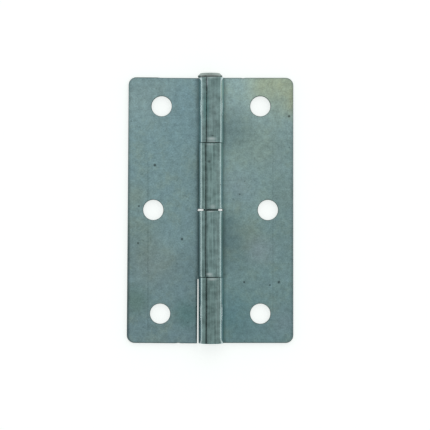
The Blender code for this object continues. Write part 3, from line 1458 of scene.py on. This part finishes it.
@dataclass
class HingePin:
    """The pin: a drawn shank with a low head, upset a little off centre.

    The nose is how much the shank narrows inside the last knuckle.
    """

    finish: DrawnWire
    radius: float = 2.25 * MM
    shank_shift: float = 0.06 * MM
    tip: float = -39.7 * MM
    tip_chamfer: float = 0.5 * MM
    nose: float = 0.13 * MM
    nose_start: float = -19.8 * MM
    nose_length: float = 0.4 * MM
    head_radius: float = 3.775 * MM
    head_flat: float = 3.0 * MM
    head_base: float = 40.03 * MM
    head_height: float = 1.27 * MM
    head_rim: float = 0.44 * MM
    undercut: float = 0.12 * MM
    head_shift: Point = (-0.19 * MM, 0.025 * MM)
    turns: int = 128

    def ring(
        self, mesh: bmesh.types.BMesh, radius: float, along: float, shift: Point
    ) -> list[bmesh.types.BMVert]:
        """Add one ring of a turned solid.

        Args:
            mesh: The mesh that gets it.
            radius: Its radius, or 0 for a single point on the axis.
            along: Its Y from the middle of the barrel.
            shift: How far its axis stands off the pin's, in X and Z.

        Returns:
            Its vertices in order.
        """
        x, y, z = shift[0], AXIS_Y + along, AXIS_Z + shift[1]
        if radius <= 0:
            return [mesh.verts.new((x, y, z))]
        circle = arc((x, z), radius, 0.0, 360.0, self.turns)[:-1]
        return [mesh.verts.new((across, y, up)) for across, up in circle]

    def turned(self, profile: list[Point], shift: Point, mesh: bmesh.types.BMesh) -> None:
        """Turn a profile about the pin's axis into a closed solid.

        Args:
            profile: Radius and Y of each point, from the +Y end to the -Y end,
                the first and the last on the axis.
            shift: How far the axis stands off the pin's, in X and Z.
            mesh: The mesh that gets the solid.
        """
        rings = [self.ring(mesh, radius, along, shift) for radius, along in profile]
        for upper, lower in zip(rings, rings[1:]):
            for here in range(self.turns):
                after = (here + 1) % self.turns
                if len(upper) == 1:
                    mesh.faces.new((upper[0], lower[after], lower[here]))
                elif len(lower) == 1:
                    mesh.faces.new((upper[here], upper[after], lower[0]))
                else:
                    mesh.faces.new((upper[here], upper[after], lower[after], lower[here]))

    def head_profile(self) -> list[Point]:
        """Draw half of the head: flat, cone, short rim and undercut.

        Returns:
            Radius and Y of each point, from the top down.
        """
        top = self.head_base + self.head_height
        shoulder = self.head_base + self.head_rim
        neck = self.head_radius - self.undercut
        return [
            (0.0, top),
            (self.head_flat - 0.16 * MM, top),
            (self.head_flat - 0.02 * MM, top - 0.04 * MM),
            (self.head_flat + 0.08 * MM, top - 0.13 * MM),
            (self.head_radius - 0.08 * MM, shoulder + 0.07 * MM),
            (self.head_radius - 0.02 * MM, shoulder),
            (self.head_radius - 0.03 * MM, shoulder - 0.06 * MM),
            (neck, self.head_base + 0.04 * MM),
            (neck - 0.04 * MM, self.head_base),
            (0.0, self.head_base),
        ]

    def shank_profile(self) -> list[Point]:
        """Draw half of the shank, from inside the head to its tip.

        Returns:
            Radius and Y of each point, from the head down.
        """
        inside = self.head_base + self.head_height / 2
        slim, chamfer = self.radius - self.nose, self.tip_chamfer
        return [
            (0.0, inside),
            (self.radius, inside),
            (self.radius, self.head_base - 0.05 * MM),
            (self.radius, self.nose_start),
            (slim, self.nose_start - self.nose_length),
            (slim, self.tip + chamfer),
            (slim - chamfer * 0.3, self.tip + chamfer * 0.3),
            (slim - chamfer, self.tip),
            (0.0, self.tip),
        ]

    def build(self) -> bpy.types.Object:
        """Build and dress the pin.

        Returns:
            The finished piece.
        """
        shell = bmesh.new()
        self.turned(self.shank_profile(), (self.shank_shift, 0.0), shell)
        self.turned(self.head_profile(), self.head_shift, shell)
        bmesh.ops.recalc_face_normals(shell, faces=shell.faces)
        for face in shell.faces:
            face.smooth = True
        for edge in shell.edges:
            if len(edge.link_faces) == 2 and edge.calc_face_angle() > math.radians(30):
                edge.smooth = False
        mesh = bpy.data.meshes.new("pin_wire")
        shell.to_mesh(mesh)
        shell.free()
        mesh.materials.append(self.finish.material())
        return link_object("pin_wire", mesh)

    def place(self, piece: bpy.types.Object) -> None:
        """Put the pin on its body in place of the CAD node.

        Args:
            piece: The finished pin.
        """
        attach(piece, "left_leaf_and_pin")
        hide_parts("hinge_pin")


@dataclass
class Studio:
    """White ground, soft light from above and a camera straight overhead.

    The rim is where the mirrored ground starts and ends to grow dimmer. The
    panel gap gives the tent's level by the degrees from overhead toward -X.
    """

    focus: tuple[float, float, float] = (1.29 * MM, -2.10 * MM, 1.25 * MM)
    distance: float = 600 * MM
    lens: float = 166.0
    sensor: float = 36.0
    ground_half: float = 1.5
    ground_drop: float = 0.02 * MM
    ground_glow: float = 0.69
    rim: Point = (60 * MM, 260 * MM)
    rim_level: float = 0.5
    ground_white: str = "#d2d3d2"
    ground_tone: str = "#fafffd"
    tent_level: float = 0.58
    tent_lean: float = 0.45
    panel_gap: tuple[Point, ...] = (
        (14.0, 1.0),
        (34.0, 0.84),
        (40.0, 0.62),
        (43.7, 0.09),
        (48.2, 0.09),
        (52.6, 0.92),
        (56.0, 1.0),
    )

    def add_camera(self) -> None:
        """Hang the camera over the hinge, looking straight down."""
        data = bpy.data.cameras.new("overhead")
        data.lens = self.lens
        data.sensor_width = self.sensor
        data.clip_start = 0.01
        camera = link_object("overhead", data)
        camera.location = (self.focus[0], self.focus[1], self.focus[2] + self.distance)
        bpy.context.scene.camera = camera

    def ground_material(self) -> bpy.types.Material:
        """Build the ground's material: a white table, lit from below as well.

        Returns:
            The material, whose own light is seen and mirrored but lights nothing.
        """
        material, tree = new_material("white_light_table")
        path = add_node(tree, "ShaderNodeLightPath").outputs
        place = add_node(tree, "ShaderNodeTexCoord").outputs["Object"]
        away = add_node(tree, "ShaderNodeVectorMath", {0: place}, operation="LENGTH")
        # What the metal mirrors of the table grows dimmer toward the table's rim.
        mirrored = add_node(
            tree,
            "ShaderNodeMapRange",
            {
                "Value": away.outputs["Value"],
                "From Min": self.rim[0],
                "From Max": self.rim[1],
                "To Min": 1.0,
                "To Max": self.rim_level,
            },
            interpolation_type="SMOOTHSTEP",
        ).outputs[0]
        seen = add_node(
            tree,
            "ShaderNodeMath",
            {0: path["Is Glossy Ray"], 1: mirrored, 2: path["Is Camera Ray"]},
            operation="MULTIPLY_ADD",
        ).outputs[0]
        shown = add_node(
            tree,
            "ShaderNodeMath",
            {0: seen, 1: path["Is Transmission Ray"]},
            operation="ADD",
            use_clamp=True,
        ).outputs[0]
        strength = add_node(
            tree, "ShaderNodeMath", {0: shown, 1: self.ground_glow}, operation="MULTIPLY"
        ).outputs[0]
        glow = add_node(
            tree,
            "ShaderNodeEmission",
            {"Color": linear(self.ground_tone), "Strength": strength},
        ).outputs[0]
        matt = add_node(
            tree, "ShaderNodeBsdfDiffuse", {"Color": linear(self.ground_white)}
        ).outputs[0]
        both = add_node(tree, "ShaderNodeAddShader", {0: glow, 1: matt}).outputs[0]
        add_node(tree, "ShaderNodeOutputMaterial", {"Surface": both})
        return material

    def add_ground(self) -> None:
        """Lay the white ground under the hinge."""
        half = self.ground_half
        corners = [(-half, -half, 0.0), (half, -half, 0.0), (half, half, 0.0), (-half, half, 0.0)]
        mesh = bpy.data.meshes.new("ground")
        mesh.from_pydata(corners, [], [(0, 1, 2, 3)])
        mesh.materials.append(self.ground_material())
        ground = link_object("ground", mesh)
        ground.location.z = -self.ground_drop

    def add_sky(self) -> None:
        """Light the hinge by an even tent with one darker strip."""
        world = bpy.data.worlds.new("light_tent")
        world.use_nodes = True
        bpy.context.scene.world = world
        tree = world.node_tree
        tree.nodes.clear()
        toward = add_node(tree, "ShaderNodeTexCoord").outputs["Generated"]
        parts = add_node(tree, "ShaderNodeSeparateXYZ", {0: toward}).outputs
        lean = add_node(
            tree,
            "ShaderNodeMath",
            {0: parts["Y"], 1: self.tent_lean, 2: 1.0},
            operation="MULTIPLY_ADD",
        ).outputs[0]
        leaning = add_node(
            tree, "ShaderNodeMath", {0: self.tent_level, 1: lean}, operation="MULTIPLY"
        ).outputs[0]
        outward = add_node(
            tree, "ShaderNodeMath", {0: parts["X"], 1: -1.0}, operation="MULTIPLY"
        ).outputs[0]
        angle = add_node(
            tree, "ShaderNodeMath", {0: outward, 1: parts["Z"]}, operation="ARCTAN2"
        ).outputs[0]
        turn = add_node(
            tree, "ShaderNodeMath", {0: angle, 1: math.pi / 2}, operation="DIVIDE"
        ).outputs[0]
        # The gap between two panels of the tent, with a soft edge above it.
        stops = [(degrees / 90, (level, level, level, 1.0)) for degrees, level in self.panel_gap]
        gap = add_node(tree, "ShaderNodeValToRGB", {"Fac": turn}, stops).outputs["Color"]
        lit = add_node(
            tree, "ShaderNodeMath", {0: leaning, 1: gap}, operation="MULTIPLY"
        ).outputs[0]
        camera_ray = add_node(tree, "ShaderNodeLightPath").outputs["Is Camera Ray"]
        strength = add_node(
            tree,
            "ShaderNodeMix",
            {"Factor": camera_ray, "A": lit, "B": 1.0},
            data_type="FLOAT",
        ).outputs[0]
        background = add_node(
            tree, "ShaderNodeBackground", {"Color": (1.0, 1.0, 1.0, 1.0), "Strength": strength}
        ).outputs[0]
        add_node(tree, "ShaderNodeOutputWorld", {"Surface": background})

    def build(self) -> None:
        """Set up the studio."""
        bpy.context.scene.view_settings.view_transform = "Standard"
        self.add_camera()
        self.add_ground()
        self.add_sky()


def left_plate() -> ZincPlate:
    """Return the finish of the left leaf, whose film is blue."""
    return ZincPlate(
        name="zinc_plated_cold_rolled_sheet_blue",
        lit_head_end="#9dc0c4",
        middle="#97b9bc",
        shaded_tip_end="#8baaae",
        seat=(-0.1, -0.84, -0.43),
        half_size=(25.03 * MM, 40.6 * MM),
        rim=(0.15, 0.5),
        patches=(
            (-20, 34, 16, "#9fbcbd", 0.8),
            (-22, -9, 12, "#9eb4a6", 0.35),
            (-9, -20, 13, "#8aa9ae", 0.3),
            (-17, -17, 11, "#a2b2a8", 0.45),
            (-10, 22, 12, "#92b8c2", 0.3),
            (-8, 32, 8, "#92b8c4", 0.5),
            (-23, 4, 6, "#9cb7b0", 0.9),
            (-23, -28, 7, "#81a29d", 0.9),
            (-7, -32, 7, "#769e9e", 0.95),
        ),
        specks=(
            (-16.9, 13.0, 0.58),
            (-8.7, -9.4, 0.52),
            (-22.0, -10.6, 0.42),
            (-21.7, 0.6, 0.4),
        ),
        smears=(
            (-8.0, 12.0, 9.0, 0.96),
            (-7.0, -18.0, 10.0, 0.95),
            (-24.0, -12.0, 12.0, 0.92),
            (-22.0, 30.0, 9.0, 1.1),
            (-12.0, -10.0, 8.0, 1.08),
        ),
        # The first line is one the rolls leave; the two beside the barrel are painted shade.
        lines=(
            (-19.0, 0.2, -11.0, 26.0, 0.17),
            (-4.4, 0.22, -30.5, 9.6, 0.38),
            (-3.95, 0.28, -0.7, 19.5, 0.13),
        ),
        scratches=(
            (-7.8, -29.9, -18.0, 2.6, 0.13),
            (-7.0, 3.3, -35.0, 1.6, -0.12),
            (-9.4, -31.2, 62.0, 1.4, 0.09),
        ),
    )


def left_knuckles() -> RolledPlate:
    """Return the finish of the first and third knuckles."""
    return RolledPlate(
        name="zinc_plate_burnished_by_rolling_blue",
        light="#98b8b6",
        dark="#718c8a",
        # Besides the pits, the marks are painted light at the knuckles' ends and along the flanks, and
        # painted shade in the creases, at the corners and along the dark reflection by the crown.
        marks=(
            (9.27, -22.38, 0.42, 0.42, PIT, 0.75),
            (9.55, -21.45, 1.7, 0.8, PAINTED_LIGHT, 0.9),
            (9.5, -20.6, 1.9, 0.45, PAINTED_LIGHT, 0.6),
            (9.6, -39.75, 2.7, 0.4, PAINTED_LIGHT, 0.55),
            (9.9, 19.15, 1.2, 0.65, PAINTED_LIGHT, 0.95),
            (9.5, 19.7, 1.0, 0.4, PAINTED_LIGHT, 0.5),
            (9.55, 0.35, 1.3, 0.4, PAINTED_LIGHT, 0.65),
            (12.6, 19.8, 1.0, 0.6, PAINTED_LIGHT, 0.9),
            (9.6, -29.0, 5.0, 14.0, PAINTED_LIGHT, 0.10),
            (13.9, 10.0, 1.65, 30.0, PAINTED_SHADE, 0.9),
            (11.05, 10.0, 0.5, 30.0, PAINTED_SHADE, 0.25),
            (12.6, -39.8, 0.9, 1.2, PAINTED_SHADE, 0.34),
            (6.85, -39.8, 0.9, 1.2, PAINTED_SHADE, 0.38),
            (8.9, -38.0, 0.8, 4.5, PAINTED_SHADE, 0.24),
            (8.9, -28.5, 0.8, 5.0, PAINTED_SHADE, 0.22),
            # A painted highlight just below the head, and a painted dark green reflection along the
            # first knuckle.
            (10.62, -38.6, 0.4, 2.6, "#cfe6ea", 0.8),
            (10.86, -30.6, 1.3, 7.5, "#30908f", 0.36),
            (7.88, 10.0, 0.9, 30.0, PAINTED_LIGHT, 0.10),
        ),
    )


def left_leaf() -> HingeLeaf:
    """Return the left leaf, which sits a little askew on the pin."""
    blank = LeafBlank(
        skew=-0.43,
        play=0.1 * MM,
        notch=3.62 * MM,
        end_relief=0.13 * MM,
        corner_relief=0.22 * MM,
        tab_growth=(0.29 * MM, -0.125 * MM),
        foot_growth=(0.12 * MM, 0.02 * MM),
        slot_step=0.7 * MM,
        nick=0.15 * MM,
        far_growth=0.31 * MM,
        near_step=0.11 * MM,
        chips=((9.45 * MM, 0.8 * MM, 0.16 * MM),),
        reach=25.03 * MM,
        end_hole_edge=10.03 * MM,
        mid_hole_edge=7.73 * MM,
    )
    return HingeLeaf(
        side=LeafSide.LEFT,
        blank=blank,
        roll=KnuckleRoll(shift=-0.09 * MM, sway=-0.09 * MM),
        plate=left_plate(),
        knuckle=left_knuckles(),
        edge=ShearedEdge("sheared_zinc_plated_edge_blue", light="#7f9191", dark="#5a6a68"),
    )


def right_plate() -> ZincPlate:
    """Return the finish of the right leaf, whose film is yellower by its corner."""
    return ZincPlate(
        name="zinc_plated_cold_rolled_sheet_warm",
        lit_head_end="#b2d0cd",
        middle="#9abbba",
        shaded_tip_end="#86a9ab",
        seat=(0.0, -0.715, 0.0),
        half_size=(24.99 * MM, 40.5 * MM),
        rim=(0.17, 0.24),
        patches=(
            (20, 38, 13, "#c6d6b8", 0.85),
            (26, 33, 8, "#c2c99c", 0.6),
            (11.5, -8.5, 7, "#a2b7a6", 0.3),
            (8.5, 6, 9, "#a0b4c0", 0.25),
            (8, 22, 10, "#84acb2", 0.3),
            (7, -32, 12, "#72a2aa", 0.5),
            (5.5, -4, 5, "#85a6a9", 0.7),
            (5.5, -10, 6, "#86a9ae", 0.6),
            (15, -13, 7, "#a3bcc0", 0.8),
            (14, 18, 10, "#a8c2b6", 0.5),
            (22.5, 4.5, 8, "#90aca9", 0.8),
            (22, -34, 8, "#93aeb4", 0.5),
        ),
        specks=(
            (23.7, 27.8, 0.55),
            (20.6, -22.4, 0.58),
            (10.1, -22.4, 0.42),
            (17.9, -23.3, 0.42),
            (8.8, 4.2, 0.36),
        ),
        smears=(
            (7.0, 23.5, 9.5, 0.78),
            (21.0, 18.0, 13.0, 0.90),
            (10.0, 37.0, 8.0, 1.14),
            (23.0, -8.0, 12.0, 0.9),
            (6.0, -11.0, 13.0, 0.80),
            (6.0, -37.0, 10.0, 0.94),
        ),
        # The first line is one the rolls leave; the two beside the barrel are painted light that eases
        # the painted crease shade.
        lines=(
            (18.8, 0.2, -6.0, 26.0, 0.12),
            (4.45, 0.75, -30.5, 9.6, -0.13),
            (4.2, 0.5, 9.5, 9.6, -0.12),
        ),
    )


def right_knuckles() -> RolledPlate:
    """Return the finish of the second and fourth knuckles."""
    return RolledPlate(
        name="zinc_plate_burnished_by_rolling_warm",
        light="#98b8b5",
        dark="#718c89",
        # Besides the pits, the marks are painted light at the knuckles' ends and along the flanks, and
        # painted shade in the creases, at the corners, over the fourth knuckle and along the dark
        # reflection by the crown.
        marks=(
            (9.23, 14.5, 0.75, 0.75, PIT, 0.75),
            (12.3, 7.6, 0.3, 0.3, PIT, 0.75),
            (10.1, 1.0, 1.2, 1.0, PAINTED_LIGHT, 0.5),
            (9.8, -20.75, 1.8, 0.7, PAINTED_LIGHT, 0.75),
            (9.5, 19.6, 1.8, 0.4, PAINTED_LIGHT, 0.5),
            (5.2, -30.0, 1.5, 30.0, PAINTED_SHADE, 0.95),
            (5.2, 10.0, 1.75, 30.0, PAINTED_SHADE, 0.9),
            (8.35, -30.0, 0.6, 30.0, PAINTED_SHADE, 0.3),
            (9.6, -31.0, 5.0, 14.0, PAINTED_SHADE, 0.14),
            (6.75, -39.8, 0.9, 1.2, PAINTED_SHADE, 0.6),
            (12.15, -39.8, 0.9, 1.2, PAINTED_SHADE, 0.6),
            (11.3, 13.0, 0.9, 14.0, PAINTED_LIGHT, 0.10),
            (11.3, -28.0, 0.9, 26.0, PAINTED_LIGHT, 0.13),
        ),
    )


def right_leaf() -> HingeLeaf:
    """Return the right leaf, which lies square and a little toward the head."""
    blank = LeafBlank(
        tab_growth=(0.355 * MM, -0.07 * MM),
        foot_growth=(0.025 * MM, -0.10 * MM),
        near_growth=(0.26 * MM, 0.2 * MM),
        root_relief=0.85 * MM,
        nick=0.06 * MM,
        chips=((9.76 * MM, 0.6 * MM, 0.16 * MM),),
        reach=24.99 * MM,
        end_hole_edge=9.99 * MM,
        mid_hole_edge=7.69 * MM,
    )
    return HingeLeaf(
        side=LeafSide.RIGHT,
        blank=blank,
        roll=KnuckleRoll(shift=0.075 * MM, sway=0.075 * MM),
        plate=right_plate(),
        knuckle=right_knuckles(),
        edge=ShearedEdge("sheared_zinc_plated_edge_warm", light="#829391", dark="#5c6a67"),
        slide=0.1 * MM,
    )


def hinge_pin() -> HingePin:
    """Return the pin in its wire's finish."""
    wire = DrawnWire(
        "drawn_steel_wire_zinc_plated", light="#a9b3af", dark="#808d89", shank_shade="#5e6f6d"
    )
    return HingePin(wire)


def main() -> None:
    """Build the studio and the three pieces of the hinge."""
    logging.basicConfig(level=logging.INFO, format="%(message)s")
    Studio().build()
    for part in (left_leaf(), right_leaf(), hinge_pin()):
        piece = part.build()
        part.place(piece)
        LOG.info("%s: %d faces", piece.name, len(piece.data.polygons))


if __name__ == "__main__":
    main()
